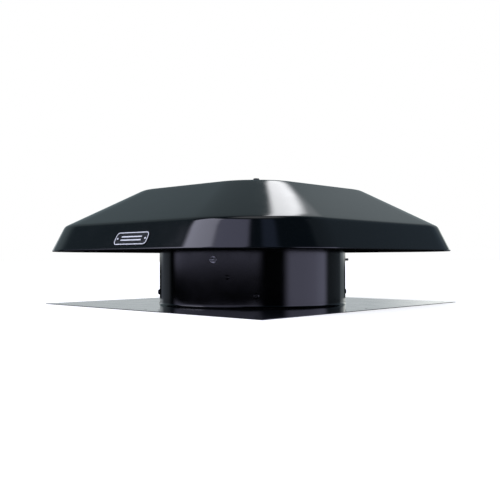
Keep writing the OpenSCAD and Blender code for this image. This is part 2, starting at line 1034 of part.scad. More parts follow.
// A cambered sheet along +X whose lower face lies drop below the blade's middle
module cambered_sheet(start, end, width, drop, t) {
    translate([start, 0, 0])
        rotate([90, 0, 90])
            linear_extrude(end - start)
                intersection() {
                    translate([0, camber_r])
                        difference() {
                            circle(r = camber_r + drop, $fn = 180);
                            circle(r = camber_r + drop - t, $fn = 180);
                        }
                    translate([-width / 2, -camber_r / 2])
                        square([width, camber_r]);
                }
}

// Puts a child at each rivet of a blade, square to the cambered sheet
module at_rivets() {
    for (place = rivet_places)
        translate([place[0], place[1], place[1] * place[1] / (2 * camber_r)])
            rotate([atan(place[1] / camber_r), 0, 0])
                children();
}

module blade_rivet_holes(r) {
    at_rivets()
        translate([0, 0, -20])
            cylinder(r = r, h = 40);
}

module fan_spider() {
    color(alloy)
        difference() {
            union() {
                translate([0, 0, spider_disc_z])
                    cylinder(r = spider_disc_r, h = spider_t);
                for (i = [0:blade_count - 1])
                    in_blade_frame(i)
                        cambered_sheet(24, spider_arm_end, spider_arm_w,
                            blade_t / 2 + spider_t, spider_t);
            }
            translate([0, 0, spider_disc_z - 10])
                cylinder(r = shaft_r, h = 20);
            for (i = [0:blade_count - 1])
                in_blade_frame(i)
                    blade_rivet_holes(rivet_r);
        }
}

// Outline of one blade: rounded corners, wider at the tip
module blade_outline() {
    root_y = blade_root_w / 2 - blade_corner_r;
    tip_y = blade_tip_w / 2 - blade_corner_r;
    tip_x = sqrt(pow(fan_r - blade_corner_r, 2) - pow(tip_y, 2));
    hull() {
        for (y = [-root_y, root_y])
            translate([blade_root_r + blade_corner_r, y])
                circle(r = blade_corner_r, $fn = 48);
        for (y = [-tip_y, tip_y])
            translate([tip_x, y])
                circle(r = blade_corner_r, $fn = 48);
        translate([fan_r - blade_tip_w / 2 - 1, 0])
            circle(r = blade_tip_w / 2, $fn = 96);
    }
}

module fan_blade(index) {
    color(alloy)
        in_blade_frame(index)
            difference() {
                intersection() {
                    cambered_sheet(blade_root_r - 1, fan_r + 1, blade_tip_w + 10, blade_t / 2, blade_t);
                    translate([0, 0, -10])
                        linear_extrude(40)
                            blade_outline();
                }
                blade_rivet_holes(rivet_r);
            }
}

// Rivets through blade and spider, their heads seated clear of the curved sheets
module blade_rivets() {
    color(stainless)
        for (i = [0:blade_count - 1])
            in_blade_frame(i)
                at_rivets() {
                    translate([0, 0, -blade_t / 2 - spider_t - rivet_seat])
                        cylinder(r = rivet_r, h = blade_t + spider_t + 2 * rivet_seat);
                    translate([0, 0, blade_t / 2 + rivet_seat])
                        dome(rivet_head_r, rivet_head_h);
                    translate([0, 0, -blade_t / 2 - spider_t - rivet_seat])
                        rotate([180, 0, 0])
                            dome(rivet_head_r, rivet_head_h);
                }
}

flashing();
throat();
hood();
badge_plate();
hood_strut(strut_angles[0]);  // hood_strut_front
hood_strut(strut_angles[1]);  // hood_strut_right
hood_strut(strut_angles[2]);  // hood_strut_back
hood_strut(strut_angles[3]);  // hood_strut_left
strut_screws();
strut_nuts();
hood_bolts();
hood_seal_washers();
hood_nuts();
screen_hoops();
screen_wires();
screen_band();
motor_bracket();
bracket_grommets();
bracket_bolts();
bracket_washers();
bracket_nuts();
motor_can();
motor_cap();
stator_core();
stator_windings();
driver_board();
upper_bearing();
lower_bearing();
motor_through_bolts();
motor_nuts();
motor_grommet();
motor_lead();
lead_clips();
control_box();
control_box_lid();
box_lid_screws();
box_wall_screw();
box_wall_nut();
box_grommet();
solar_gland();
gland_nut();
thermostat_switch();
terminal_block();
thermostat_knob();
motor_shaft();
rotor_core();
rotor_magnets();
fan_boss();
fan_spider();
fan_set_screw();
fan_blade(0);  // fan_blade_1
fan_blade(1);  // fan_blade_2
fan_blade(2);  // fan_blade_3
fan_blade(3);  // fan_blade_4
fan_blade(4);  // fan_blade_5
blade_rivets();
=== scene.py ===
"""Looks of the roof-mounted attic fan: fine meshes, materials, studio light and camera."""

import json
import math

import bmesh
import bpy
from mathutils import Matrix, Vector

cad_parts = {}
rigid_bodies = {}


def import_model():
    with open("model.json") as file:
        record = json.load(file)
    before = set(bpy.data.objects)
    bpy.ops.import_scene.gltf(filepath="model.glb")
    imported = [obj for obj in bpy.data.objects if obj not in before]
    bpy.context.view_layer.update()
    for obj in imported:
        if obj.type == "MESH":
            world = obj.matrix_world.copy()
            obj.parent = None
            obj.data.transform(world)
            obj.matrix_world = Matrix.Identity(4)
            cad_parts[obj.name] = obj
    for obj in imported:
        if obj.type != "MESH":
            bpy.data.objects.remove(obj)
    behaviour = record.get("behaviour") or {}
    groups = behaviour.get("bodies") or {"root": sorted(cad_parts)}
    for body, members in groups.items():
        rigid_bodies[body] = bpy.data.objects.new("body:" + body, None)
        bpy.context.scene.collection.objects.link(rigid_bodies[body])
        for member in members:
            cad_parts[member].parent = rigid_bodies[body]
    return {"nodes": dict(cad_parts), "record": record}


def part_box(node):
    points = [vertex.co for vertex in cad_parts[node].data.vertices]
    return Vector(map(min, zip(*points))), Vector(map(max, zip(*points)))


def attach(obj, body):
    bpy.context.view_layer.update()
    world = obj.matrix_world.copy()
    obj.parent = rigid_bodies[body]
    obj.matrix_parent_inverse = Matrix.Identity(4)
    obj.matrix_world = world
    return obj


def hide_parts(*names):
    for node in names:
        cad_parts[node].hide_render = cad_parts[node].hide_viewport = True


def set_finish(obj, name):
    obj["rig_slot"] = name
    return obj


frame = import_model()
bpy.context.view_layer.update()
nodes = frame["nodes"]

MM = 0.001

# Measures of the CAD part that the fine meshes share with it: lengths in metres, angles in degrees
SHEET = 1.2 * MM
RIM_HALF, RIM_RADIUS, RIM_Z = 340 * MM, 180 * MM, 107 * MM
BEND_HALF, BEND_RADIUS, BEND_Z = 315 * MM, 155 * MM, 156 * MM
TOP_HALF, TOP_RADIUS, TOP_Z = 183 * MM, 86 * MM, 231 * MM
HEM_HEIGHT = 12 * MM
THROAT_RADIUS = 190.5 * MM
THROAT_TOP_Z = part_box("throat")[1].z
FLASHING_TOP_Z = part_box("flashing")[1].z
FLARE_WIDTH, FLARE_HEIGHT = 2 * MM, 6 * MM
DIAGONALS = (-45, 45, 135, 225)
ARM_ANGLES = (51, 171, 291)
BOX_ANGLE = 299
STRUT_SCREW_Z = 24 * MM
ARM_BOLT_Z = 90 * MM
WALL_SCREW_Z = 58 * MM
HOOD_BOLT_RADIUS = 200 * MM
FAN_RADIUS = 178 * MM
BLADE_COUNT = 5
BLADE_Z = 122 * MM
BLADE_PITCH = 25
BLADE_CAMBER = 150 * MM
BLADE_SHEET = 1.2 * MM
BLADE_ROOT = 48 * MM
BLADE_ROOT_WIDTH = 56 * MM
BLADE_TIP_WIDTH = 96 * MM
BLADE_CORNER = 14 * MM

# Faces that meet at more than this angle share a sharp edge
SHARP_ANGLE = math.radians(40)


# ---------------------------------------------------------------- camera

def add_camera():
    """The photograph's view: level, just above the flashing, looking at one corner."""
    azimuth = math.radians(43)
    distance = 1.483
    height = 0.089
    camera_data = bpy.data.cameras.new("camera")
    camera_data.sensor_width = 36
    camera_data.lens = 51.6
    camera_data.shift_x = -0.005
    camera_data.shift_y = 0.0202
    camera_data.clip_end = 100
    camera = bpy.data.objects.new("camera", camera_data)
    camera.location = (distance * math.sin(azimuth), -distance * math.cos(azimuth), height)
    camera.rotation_euler = (math.radians(90), math.radians(0.1), azimuth)
    bpy.context.scene.collection.objects.link(camera)
    bpy.context.scene.camera = camera


# ------------------------------------------------------------ mesh helpers

def new_object(name, verts, faces):
    """A mesh object made of vertices and faces: outward normals, smooth but for sharp edges."""
    mesh = bpy.data.meshes.new(name)
    mesh.from_pydata(verts, [], faces)
    build = bmesh.new()
    build.from_mesh(mesh)
    bmesh.ops.remove_doubles(build, verts=build.verts, dist=1e-7)
    bmesh.ops.recalc_face_normals(build, faces=build.faces)
    for face in build.faces:
        face.smooth = True
    build.to_mesh(mesh)
    build.free()
    mesh.set_sharp_from_angle(angle=SHARP_ANGLE)
    piece = bpy.data.objects.new(name, mesh)
    bpy.context.scene.collection.objects.link(piece)
    return piece


def loft(rings, closed=True):
    """Vertices and quads that join rings of equal length, one after the other.
    closed joins the last ring to the first."""
    count = len(rings[0])
    verts = [point for ring in rings for point in ring]
    faces = []
    pairs = len(rings) if closed else len(rings) - 1
    for i in range(pairs):
        a = i * count
        b = (i + 1) % len(rings) * count
        for j in range(count):
            k = (j + 1) % count
            faces.append((a + j, a + k, b + k, b + j))
    return verts, faces


def capped(rings):
    """A loft that isn't closed on itself, with a face over its first and its last ring."""
    verts, faces = loft(rings, closed=False)
    count = len(rings[0])
    faces.append(tuple(reversed(range(count))))
    faces.append(tuple(range(len(verts) - count, len(verts))))
    return verts, faces


def circle(radius, z, count):
    """Points of a level circle round the Z axis."""
    return [
        (radius * math.cos(math.tau * i / count), radius * math.sin(math.tau * i / count), z)
        for i in range(count)
    ]


def lathe(profile, count, closed=True):
    """A surface of revolution round Z from (radius, z) points."""
    return loft([circle(radius, z, count) for radius, z in profile], closed)


def merge(parts):
    """One (verts, faces) from several."""
    verts, faces = [], []
    for part_verts, part_faces in parts:
        start = len(verts)
        verts.extend(part_verts)
        faces.extend(tuple(start + i for i in face) for face in part_faces)
    return verts, faces


def moved(part, matrix):
    """A (verts, faces) after a transform."""
    verts, faces = part
    return [tuple(matrix @ Vector(v)) for v in verts], faces


def outwards(angle, z, radius):
    """Matrix that lays local +Z outwards at an angle, height and radius."""
    return (
        Matrix.Rotation(math.radians(angle), 4, "Z")
        @ Matrix.Translation((radius, 0, z))
        @ Matrix.Rotation(math.radians(90), 4, "Y")
    )


def upright(angle, z, radius):
    """Matrix that stands local +Z up at an angle, height and radius."""
    return Matrix.Rotation(math.radians(angle), 4, "Z") @ Matrix.Translation((radius, 0, z))


def arc(centre, radius, start, end, steps):
    """(r, z) points along an arc, angles in degrees."""
    points = []
    for i in range(steps + 1):
        angle = math.radians(start + (end - start) * i / steps)
        points.append((centre[0] + radius * math.cos(angle), centre[1] + radius * math.sin(angle)))
    return points


def finish_piece(piece, body, slot, *replaced):
    """Rides a piece on its body and says what it stands for."""
    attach(piece, body)
    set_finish(piece, slot)
    if replaced:
        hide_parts(*replaced)
    return piece


# -------------------------------------------------------------- hood shell

def rounded_square(half, radius, z):
    """Points of a level square with round corners, anticlockwise."""
    corner_steps, side_steps = 36, 10
    reach = half - radius
    points = []
    for corner in range(4):
        turn = math.radians(90 * corner)
        cos_turn, sin_turn = math.cos(turn), math.sin(turn)
        local = []
        for i in range(corner_steps + 1):
            angle = math.radians(90 * i / corner_steps)
            local.append((reach + radius * math.cos(angle), reach + radius * math.sin(angle)))
        for i in range(1, side_steps):
            share = i / side_steps
            local.append((reach - 2 * reach * share, half))
        for x, y in local:
            points.append((x * cos_turn - y * sin_turn, x * sin_turn + y * cos_turn, z))
    return points


def mix(a, b, share):
    """The station that lies a share of the way from a to b."""
    return tuple(p + (q - p) * share for p, q in zip(a, b))


def station_gap(a, b):
    """Distance between two (half, radius, z) stations along the hood's profile."""
    return math.hypot(a[0] - b[0], a[2] - b[2])


def rounded_profile(stations, bend_radii):
    """Stations along a profile whose corners are rounded, with loops that hold the flats flat."""
    bend_steps = 6
    profile = [stations[0]]
    for i in range(1, len(stations) - 1):
        before, corner, after = stations[i - 1], stations[i], stations[i + 1]
        reach = bend_radii[i - 1]
        start = mix(corner, before, reach / station_gap(corner, before))
        end = mix(corner, after, reach / station_gap(corner, after))
        profile.append(mix(corner, before, 3 * reach / station_gap(corner, before)))
        for step in range(bend_steps + 1):
            share = step / bend_steps
            profile.append(mix(mix(start, corner, share), mix(corner, end, share), share))
        profile.append(mix(corner, after, 3 * reach / station_gap(corner, after)))
    profile.append(stations[-1])
    return profile


def inset(corner, before, after, thickness):
    """A station moved inwards by the sheet's thickness, square to both stretches beside it."""
    normals = []
    for a, b in ((before, corner), (corner, after)):
        run, rise = b[0] - a[0], b[2] - a[2]
        length = math.hypot(run, rise)
        normals.append(Vector((-rise / length, run / length)))
    shift = thickness * (normals[0] + normals[1]) / (1 + normals[0].dot(normals[1]))
    return (corner[0] + shift.x, corner[1] + shift.x, corner[2] + shift.y)


def hood_shell():
    """The sheet hood: folded hem, skirt, bend, slope and flat top."""
    rim = (RIM_HALF, RIM_RADIUS, RIM_Z)
    bend = (BEND_HALF, BEND_RADIUS, BEND_Z)
    top = (TOP_HALF, TOP_RADIUS, TOP_Z)
    top_middle = (TOP_HALF * 0.4, TOP_RADIUS * 0.4, TOP_Z)
    below_rim = mix(bend, rim, 1.2)
    rim_in = inset(rim, below_rim, bend, SHEET)
    bend_in = inset(bend, rim, top, SHEET)
    top_in = inset(top, bend, top_middle, SHEET)
    middle_in = (top_middle[0], top_middle[1], TOP_Z - SHEET)
    hem_in = inset(rim, below_rim, bend, 2 * SHEET)
    hem_share = HEM_HEIGHT / (BEND_Z - RIM_Z)
    roll = SHEET
    lift = roll / (BEND_Z - RIM_Z)
    bend_radii = (5 * MM, 6 * MM)
    outer = rounded_profile([mix(rim, bend, lift), bend, top, top_middle], bend_radii)
    outer.insert(1, mix(rim, bend, 2.5 * lift))
    inner_start = mix(rim_in, bend_in, hem_share + 2 * lift)
    inner = rounded_profile([inner_start, bend_in, top_in, middle_in], bend_radii)
    hem_top_out = mix(rim_in, bend_in, hem_share)
    hem_top_in = mix(hem_in, inset(bend, rim, top, 2 * SHEET), hem_share)
    hem_foot_in = mix(hem_in, bend_in, lift)
    roll_steps = 6
    hem_roll = []
    for i in range(1, roll_steps):
        angle = math.pi * i / roll_steps
        half = mix(mix(rim, bend, lift), hem_foot_in, (1 - math.cos(angle)) / 2)
        hem_roll.append((half[0], half[1], half[2] - roll * math.sin(angle)))
    profile = list(reversed(outer)) + hem_roll + [hem_foot_in, hem_top_in, hem_top_out] + inner
    rings = [rounded_square(*station) for station in profile]
    piece = new_object("hood_shell", *capped(rings))
    return finish_piece(piece, "housing", "black_powder_coat", "hood")


# ------------------------------------------------------------ throat shell

def throat_shell():
    """The throat: a rolled sheet with a flared foot and a rolled top edge."""
    inner = THROAT_RADIUS - SHEET
    flare_radius = (FLARE_WIDTH ** 2 + FLARE_HEIGHT ** 2) / (2 * FLARE_WIDTH)
    flare_centre = (THROAT_RADIUS + flare_radius, FLASHING_TOP_Z + FLARE_HEIGHT)
    flare_angle = math.degrees(math.asin(FLARE_HEIGHT / flare_radius))
    flare = arc(flare_centre, flare_radius, 180 + flare_angle, 180, 10)
    wall_start = FLASHING_TOP_Z + FLARE_HEIGHT
    wall_height = THROAT_TOP_Z - SHEET - FLASHING_TOP_Z - FLARE_HEIGHT
    wall_rows = 12
    wall = [
        (THROAT_RADIUS, wall_start + wall_height * i / wall_rows)
        for i in range(1, wall_rows + 1)
    ]
    lip = arc((THROAT_RADIUS - SHEET / 2, THROAT_TOP_Z - SHEET / 2), SHEET / 2, 0, 180, 8)
    profile = flare + wall + lip + [(inner, FLASHING_TOP_Z)]
    piece = new_object("throat_shell", *lathe(profile, 288))
    return finish_piece(piece, "housing", "black_powder_coat", "throat")


# --------------------------------------------------------------- fasteners

def hex_part(apothem, height, chamfer_both=False):
    """A hexagonal prism whose corners are chamfered, standing on z = 0."""
    count = 72
    flat_radius = 0.94 * apothem
    slope = math.tan(math.radians(30))

    def reach(i):
        angle = (360 * i / count + 30) % 60 - 30
        return apothem / math.cos(math.radians(angle))

    def ring(radius_of, z_of):
        points = []
        for i in range(count):
            angle = math.tau * i / count
            radius = radius_of(i)
            points.append((radius * math.cos(angle), radius * math.sin(angle), z_of(radius)))
        return points

    def top_z(radius):
        return height - max(0, radius - flat_radius) * slope

    def foot_z(radius):
        return max(0, radius - flat_radius) * slope if chamfer_both else 0

    return capped([
        ring(lambda i: flat_radius, foot_z),
        ring(reach, foot_z),
        ring(reach, top_z),
        ring(lambda i: flat_radius, top_z),
    ])


def threaded_rod(radius, length, pitch):
    """A rod with V grooves at the thread's pitch and a chamfered end, from z = 0."""
    depth = 0.12 * radius
    turns = max(1, int(length / pitch) - 1)
    profile = [(0, 0), (radius, 0)]
    for i in range(turns):
        profile.append((radius, (i + 0.35) * pitch))
        profile.append((radius - depth, (i + 0.75) * pitch))
    profile.append((radius, length - 1.2 * depth))
    profile.append((radius - 1.5 * depth, length))
    profile.append((0, length))
    return lathe(profile, 32, closed=False)


def washer(outer, inner, height):
    """A flat washer with eased edges, from z = 0."""
    ease = 0.2 * height
    profile = [
        (inner, 0), (outer - ease, 0), (outer, ease), (outer, height - ease),
        (outer - ease, height), (inner, height),
    ]
    return lathe(profile, 48)


def pan_head(radius, height):
    """A pan head with a flat rim and a cross recess, standing on z = 0."""
    rings, count = 18, 96
    recess_half = 0.14 * radius
    recess_reach = 0.55 * radius
    recess_depth = 0.45 * height
    rim = 0.25 * height

    def surface(x, y):
        distance = math.hypot(x, y)
        z = rim + (height - rim) * math.sqrt(max(0, 1 - (distance / radius) ** 2.6))
        across = min(abs(x), abs(y))
        along = max(abs(x), abs(y))
        edge = max(across - recess_half, along - recess_reach) / (0.1 * radius)
        return z - recess_depth * min(1, max(0, 0.5 - edge)) * (1 - 0.4 * along / radius)

    ring_list = [circle(radius, 0, count)]
    for i in range(rings, 0, -1):
        share = i / rings
        ring_list.append([(x, y, surface(x, y)) for x, y, _ in circle(radius * share, 0, count)])
    return capped(ring_list)


def strut_screws():
    """The four pan-headed screws low on the throat."""
    screw = merge([
        pan_head(5.6 * MM, 4.6 * MM),
        moved(threaded_rod(3 * MM, 12 * MM, 1 * MM), Matrix.Rotation(math.pi, 4, "X")),
    ])
    seat = THROAT_RADIUS + 0.05 * MM
    parts = [moved(screw, outwards(angle, STRUT_SCREW_Z, seat)) for angle in DIAGONALS]
    piece = new_object("strut_screw_set", *merge(parts))
    return finish_piece(piece, "housing", "black_fastener", "strut_screws")


def box_wall_screw():
    """The screw that holds the control box to the throat."""
    screw = merge([
        pan_head(4.5 * MM, 3 * MM),
        moved(threaded_rod(2 * MM, 11 * MM, 0.8 * MM), Matrix.Rotation(math.pi, 4, "X")),
    ])
    placed = moved(screw, outwards(BOX_ANGLE, WALL_SCREW_Z, THROAT_RADIUS))
    piece = new_object("control_box_screw", *placed)
    return finish_piece(piece, "housing", "black_fastener", "box_wall_screw")


def hood_bolt_set():
    """The four hexagon bolts on the hood's top."""
    bolt = merge([
        washer(5.6 * MM, 0.5 * MM, 0.6 * MM),
        moved(hex_part(4.6 * MM, 2 * MM), Matrix.Translation((0, 0, 0.6 * MM))),
        moved(threaded_rod(3 * MM, 17 * MM, 1 * MM), Matrix.Rotation(math.pi, 4, "X")),
    ])
    parts = [moved(bolt, upright(angle, TOP_Z + 1.5 * MM, HOOD_BOLT_RADIUS)) for angle in DIAGONALS]
    piece = new_object("hood_bolt_set", *merge(parts))
    return finish_piece(piece, "housing", "black_fastener", "hood_bolts")


def hood_washer_set():
    """Bonded sealing washers, whose rubber bulges a little under the bolts."""
    hole = 3.1 * MM
    reach = 8.2 * MM
    half_height = 0.75 * MM
    profile = [(hole, 0), (reach, 0)]
    profile += arc((reach, half_height), half_height, -90, 90, 6)
    profile += [(hole, 2 * half_height)]
    seal = lathe(profile, 48)
    parts = [moved(seal, upright(angle, TOP_Z, HOOD_BOLT_RADIUS)) for angle in DIAGONALS]
    piece = new_object("hood_washer_set", *merge(parts))
    return finish_piece(piece, "housing", "rubber", "hood_seal_washers")


def bracket_fasteners():
    """Bolts, washers and nuts that stand out of the throat and hold the motor bracket."""
    inner_face = THROAT_RADIUS - SHEET - 6 * MM
    tail = 13 * MM
    washer_height = 1.5 * MM
    bolt = merge([
        moved(hex_part(4 * MM, 3.5 * MM), outwards(0, 0, inner_face - washer_height)
              @ Matrix.Rotation(math.pi, 4, "X")),
        moved(threaded_rod(2.5 * MM, THROAT_RADIUS + tail - inner_face, 0.8 * MM),
              outwards(0, 0, inner_face)),
    ])
    ring = washer(6.5 * MM, 2.5 * MM, washer_height)
    washers = merge([
        moved(ring, outwards(0, 0, inner_face - washer_height)),
        moved(ring, outwards(0, 0, THROAT_RADIUS)),
    ])
    nut = moved(hex_part(4 * MM, 4 * MM, True), outwards(0, 0, THROAT_RADIUS + washer_height))
    for name, part, node in (
        ("bracket_bolt_set", bolt, "bracket_bolts"),
        ("bracket_washer_set", washers, "bracket_washers"),
        ("bracket_nut_set", nut, "bracket_nuts"),
    ):
        parts = [moved(part, upright(angle, ARM_BOLT_Z, 0)) for angle in ARM_ANGLES]
        finish_piece(new_object(name, *merge(parts)), "housing", "zinc_fastener", node)


# ------------------------------------------------------------------- badge

def badge():
    """A wordless plate with a raised border and two plain rules, riveted to the front skirt."""
    low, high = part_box("badge_plate")
    half_width = (high.x - low.x) / 2
    tilt = math.atan2(RIM_HALF - BEND_HALF, BEND_Z - RIM_Z)
    half_height = 13.5 * MM
    thickness = 1.5 * MM
    corner = 9 * MM
    steps = 10

    def outline(shrink, z):
        points = []
        radius = max(corner - shrink, 0.5 * MM)
        for quarter, (sx, sy) in enumerate(((1, 1), (-1, 1), (-1, -1), (1, -1))):
            for i in range(steps + 1):
                angle = math.radians(90 * quarter + 90 * i / steps)
                x = sx * (half_width - shrink - radius) + radius * math.cos(angle)
                y = sy * (half_height - shrink - radius) + radius * math.sin(angle)
                points.append((x, y, z))
        return points

    def bar_outline(shrink, z):
        reach_x, reach_y = 0.6 * half_width - shrink, 1.1 * MM - shrink
        return [
            (reach_x, -reach_y, z), (reach_x, reach_y, z),
            (-reach_x, reach_y, z), (-reach_x, -reach_y, z),
        ]

    field = thickness - 0.4 * MM
    plate = capped([outline(0, 0), outline(0, field - 0.2 * MM), outline(0.2 * MM, field)])
    border = loft([
        outline(1.6 * MM, field),
        outline(1.6 * MM, thickness - 0.1 * MM),
        outline(1.7 * MM, thickness),
        outline(3.0 * MM, thickness),
        outline(3.1 * MM, thickness - 0.1 * MM),
        outline(3.1 * MM, field),
    ])
    bar = capped([bar_outline(0, 0), bar_outline(0, 0.3 * MM), bar_outline(0.1 * MM, 0.4 * MM)])
    rules = [moved(bar, Matrix.Translation((0, y, field))) for y in (-3.2 * MM, 3.2 * MM)]
    dome = arc((0, -1.6 * MM), 2.56 * MM, 38.7, 90, 6)
    rivet = lathe([(0, 0), (2 * MM, 0)] + dome, 24, closed=False)
    rivets = [
        moved(rivet, Matrix.Translation((x, 0, field)))
        for x in (-half_width + 8 * MM, half_width - 8 * MM)
    ]
    middle = (low + high) / 2
    tilted = (
        Matrix.Translation(middle)
        @ Matrix.Rotation(math.radians(90) - tilt, 4, "X")
        @ Matrix.Translation((0, 0, -thickness / 2))
    )
    field_piece = new_object("badge_field", *moved(plate, tilted))
    finish_piece(field_piece, "housing", "black_fastener", "badge_plate")
    border_piece = new_object("badge_border", *moved(merge([border] + rivets + rules), tilted))
    finish_piece(border_piece, "housing", "blank_badge", "badge_plate")


# ------------------------------------------------------------------ screen

def screen_mesh():
    """Fine wire mesh between the throat and the hood."""
    low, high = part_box("screen_wires")
    around, rows = 200, 16
    radius = high.x - 0.8 * MM
    rings = [circle(radius, low.z + (high.z - low.z) * i / rows, around) for i in range(rows + 1)]
    piece = new_object("screen_mesh", *loft(rings, closed=False))
    wire = piece.modifiers.new("wire", "WIREFRAME")
    wire.thickness = 0.8 * MM
    wire.use_even_offset = False
    return finish_piece(piece, "housing", "stainless_steel", "screen_wires")


# -------------------------------------------------------------- fan blades

def blade_outline():
    """Outline of one blade seen square on: x outwards, wider at the tip, round corners."""
    root_x = BLADE_ROOT + BLADE_CORNER
    root_y = BLADE_ROOT_WIDTH / 2 - BLADE_CORNER
    tip_y = BLADE_TIP_WIDTH / 2 - BLADE_CORNER
    tip_x = math.sqrt((FAN_RADIUS - BLADE_CORNER) ** 2 - tip_y ** 2)
    side = 90 + math.degrees(math.atan2(tip_y - root_y, tip_x - root_x))
    corners = (
        (tip_x, tip_y, 0, side), (root_x, root_y, side, 180),
        (root_x, -root_y, 180, 360 - side), (tip_x, -tip_y, 360 - side, 360),
    )
    points = []
    for x, y, start, end in corners:
        points += arc((x, y), BLADE_CORNER, start, end, 12)
    outline = []
    for a, b in zip(points, points[1:] + points[:1]):
        steps = max(1, round(math.dist(a, b) / (4 * MM)))
        outline += [mix(a, b, step / steps) for step in range(steps)]
    return outline


def fan_blades():
    """Five cambered blades with round edges."""
    outline = blade_outline()
    middle = ((BLADE_ROOT + FAN_RADIUS) / 2, 0)
    faces_of = (0.02, 0.1, 0.2, 0.3, 0.4, 0.5, 0.6, 0.7, 0.8, 0.88, 0.95, 0.985)
    edge = ((0.990, 0.5), (0.996, 0.4), (1, 0.15))
    profile = [(share, -0.5) for share in faces_of] + [(share, -lift) for share, lift in edge]
    profile += [(share, -lift) for share, lift in reversed(profile)]
    rings = []
    for share, lift in profile:
        ring = []
        for point in outline:
            x, y = mix(middle, point, share)
            camber = BLADE_CAMBER - math.sqrt(BLADE_CAMBER ** 2 - y ** 2)
            ring.append((x, y, camber + lift * BLADE_SHEET))
        rings.append(ring)
    blade = capped(rings)
    pitch = Matrix.Rotation(math.radians(BLADE_PITCH), 4, "X")
    pitched = Matrix.Translation((0, 0, BLADE_Z)) @ pitch
    for i in range(BLADE_COUNT):
        turned = Matrix.Rotation(math.tau * i / BLADE_COUNT, 4, "Z") @ pitched
        piece = new_object(f"cambered_blade_{i + 1}", *moved(blade, turned))
        finish_piece(piece, "rotor", "fan_aluminium", f"fan_blade_{i + 1}")


# --------------------------------------------------------------- materials

class Shader:
    """A small builder of node materials on object coordinates."""

    def __init__(self, name):
        self.material = bpy.data.materials.new(name)
        self.material.use_nodes = True
        self.tree = self.material.node_tree
        self.tree.nodes.clear()
        self.output = self.tree.nodes.new("ShaderNodeOutputMaterial")
        self.principled = self.tree.nodes.new("ShaderNodeBsdfPrincipled")
        self.coordinates = self.tree.nodes.new("ShaderNodeTexCoord")
        self.link(self.principled.outputs["BSDF"], self.output.inputs["Surface"])

    def link(self, start, end):
        self.tree.links.new(start, end)

    def set(self, **values):
        """Sets sockets of the Principled shader by name, with _ for a space."""
        for key, value in values.items():
            self.principled.inputs[key.replace("_", " ")].default_value = value

    def stretched(self, scale):
        """Object coordinates scaled along each axis."""
        mapping = self.tree.nodes.new("ShaderNodeMapping")
        mapping.inputs["Scale"].default_value = scale
        self.link(self.coordinates.outputs["Object"], mapping.inputs["Vector"])
        return mapping.outputs["Vector"]

    def noise(self, scale, detail=4.0, stretch=(1, 1, 1)):
        """A noise texture's factor at so many cells a metre."""
        texture = self.tree.nodes.new("ShaderNodeTexNoise")
        texture.inputs["Scale"].default_value = scale
        texture.inputs["Detail"].default_value = detail
        self.link(self.stretched(stretch), texture.inputs["Vector"])
        return texture.outputs["Fac"]

    def ranged(self, value, low, high, source=(0.3, 0.7)):
        """A factor mapped from a source range to low..high."""
        node = self.tree.nodes.new("ShaderNodeMapRange")
        node.inputs["From Min"].default_value = source[0]
        node.inputs["From Max"].default_value = source[1]
        node.inputs["To Min"].default_value = low
        node.inputs["To Max"].default_value = high
        self.link(value, node.inputs["Value"])
        return node.outputs["Result"]

    def mixed(self, factor, first, second):
        """A colour between two, by a factor."""
        node = self.tree.nodes.new("ShaderNodeMix")
        node.data_type = "RGBA"
        self.link(factor, node.inputs["Factor"])
        for socket, colour in (("A", first), ("B", second)):
            target = [s for s in node.inputs if s.name == socket and s.type == "RGBA"][0]
            if isinstance(colour, tuple):
                target.default_value = (*colour, 1)
            else:
                self.link(colour, target)
        return [s for s in node.outputs if s.type == "RGBA"][0]

    def edges(self, low=0.52, high=0.58):
        """1 on worn convex edges and 0 elsewhere."""
        geometry = self.tree.nodes.new("ShaderNodeNewGeometry")
        return self.ranged(geometry.outputs["Pointiness"], 0, 1, (low, high))

    def colour(self, socket):
        self.link(socket, self.principled.inputs["Base Color"])

    def roughness(self, socket):
        self.link(socket, self.principled.inputs["Roughness"])

    def bumps(self, layers):
        """Stacks bump layers of (height socket, distance in metres)."""
        normal = None
        for height, distance in layers:
            node = self.tree.nodes.new("ShaderNodeBump")
            node.inputs["Distance"].default_value = distance
            self.link(height, node.inputs["Height"])
            if normal is not None:
                self.link(normal, node.inputs["Normal"])
            normal = node.outputs["Normal"]
        self.link(normal, self.principled.inputs["Normal"])


def black_powder_coat():
    """Gloss black powder coat: faint orange peel, soft waves of the sheet, thin dust."""
    shader = Shader("black_powder_coat")
    dust = shader.ranged(shader.noise(9, 6), 0, 0.35, (0.45, 0.75))
    coat = shader.mixed(dust, (0.0012, 0.0014, 0.0016), (0.0034, 0.0038, 0.0042))
    shader.colour(shader.mixed(shader.edges(0.56, 0.66), coat, (0.05, 0.054, 0.058)))
    shader.roughness(shader.ranged(shader.noise(30, 5), 0.085, 0.125))
    shader.set(IOR=1.5)
    shader.bumps([
        (shader.noise(5, 1, (1, 1, 0.6)), 0.00015),
        (shader.noise(420, 2), 0.000012),
    ])
    return shader.material


def black_fastener():
    """Black coated steel of the screw heads, a little worn on its edges."""
    shader = Shader("black_fastener")
    shader.colour(shader.mixed(shader.edges(0.6, 0.7), (0.004, 0.0042, 0.0046), (0.05, 0.05, 0.05)))
    shader.roughness(shader.ranged(shader.noise(500, 3), 0.16, 0.26))
    shader.bumps([(shader.noise(1500, 2), 0.00001)])
    return shader.material


def blank_badge():
    """Pale enamel of the badge's raised border and rules."""
    shader = Shader("blank_badge")
    grain = shader.noise(60, 3, (1, 30, 30))
    shader.colour(shader.mixed(shader.ranged(grain, 0, 1), (0.72, 0.73, 0.75), (0.80, 0.81, 0.83)))
    shader.roughness(shader.ranged(grain, 0.30, 0.42))
    shader.bumps([(grain, 0.00002)])
    return shader.material


